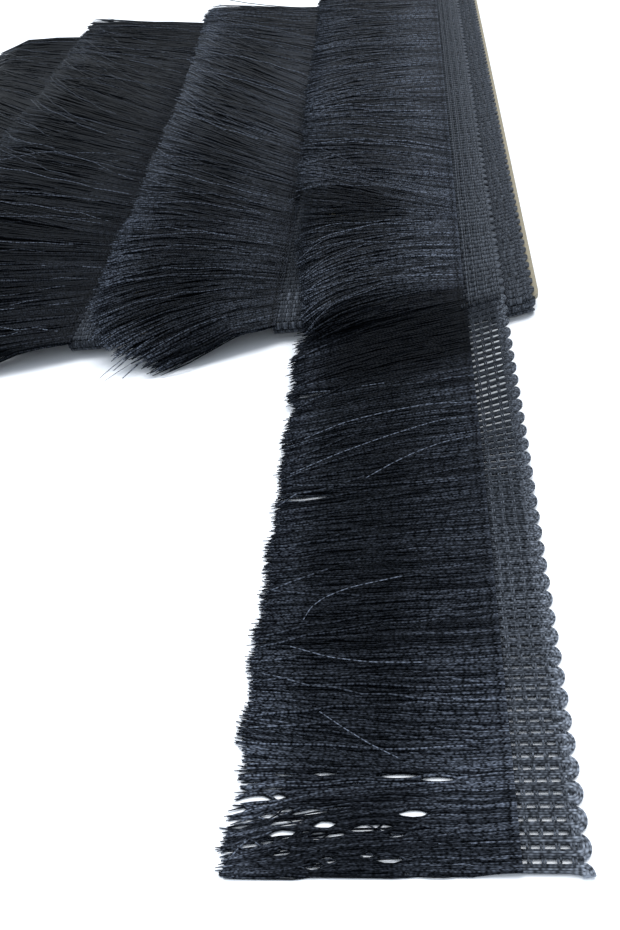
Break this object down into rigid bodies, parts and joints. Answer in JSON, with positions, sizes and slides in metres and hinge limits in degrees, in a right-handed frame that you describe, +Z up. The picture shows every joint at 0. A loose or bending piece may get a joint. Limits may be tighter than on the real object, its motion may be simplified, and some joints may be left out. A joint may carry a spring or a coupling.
{
  "type": "fringe trim",
  "caption": "Brush fringe trim with a scalloped knitted header, wound side by side on a flat card, its loose end laid out in front.",
  "frame": {"origin": "middle of the bounding box on the table that the trim lies on", "axes": "+Y along the trim, from its loose end to the card's far edge; the fringe points to -X; +Z up from the table"},
  "size_m": [0.2818, 0.4899, 0.0123],
  "materials": {
    "black_knit": "matte knitted yarn",
    "black_yarn": "matte cut yarn with a soft sheen",
    "kraft_board": "matte kraft board"
  },
  "bodies": {
    "root": {"card": "kraft_board", "header_wound": "black_knit", "header_loose_end": "black_knit", "fringe_loose_end": "black_yarn", "fringe_inner": "black_yarn", "fringe_top_1": "black_yarn", "fringe_top_2": "black_yarn", "fringe_top_3": "black_yarn", "fringe_top_4": "black_yarn", "fringe_under_1": "black_yarn", "fringe_under_2": "black_yarn", "fringe_under_3": "black_yarn", "fringe_under_4": "black_yarn"}
  },
  "joints": []
}
